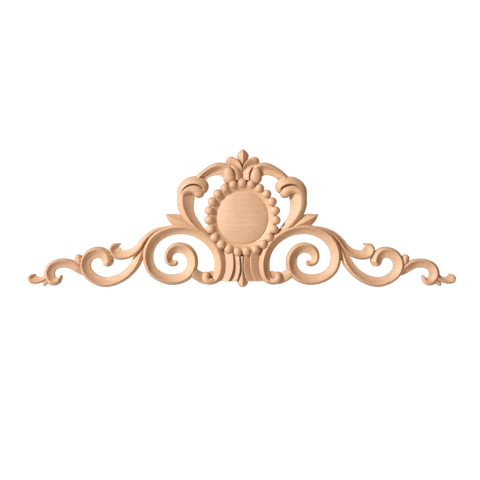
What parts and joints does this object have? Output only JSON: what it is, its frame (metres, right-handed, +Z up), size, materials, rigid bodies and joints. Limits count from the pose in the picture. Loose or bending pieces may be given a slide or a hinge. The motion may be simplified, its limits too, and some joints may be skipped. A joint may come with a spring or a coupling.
{
  "type": "carved headpiece",
  "caption": "Symmetrical openwork carved wooden headpiece: a domed boss in a ring of beads with leaf crown, C-scrolls and tapering scrolled wings.",
  "frame": {"origin": "on the flat back, behind the centre of the beaded boss", "axes": "+X to the viewer's right along the length, +Z up towards the crown, +Y into the wall; the carving faces -Y"},
  "size_m": [0.6222, 0.0176, 0.1998],
  "materials": {
    "wood": "bare sanded pale hardwood"
  },
  "bodies": {
    "root": {"headpiece": "wood"}
  },
  "joints": []
}
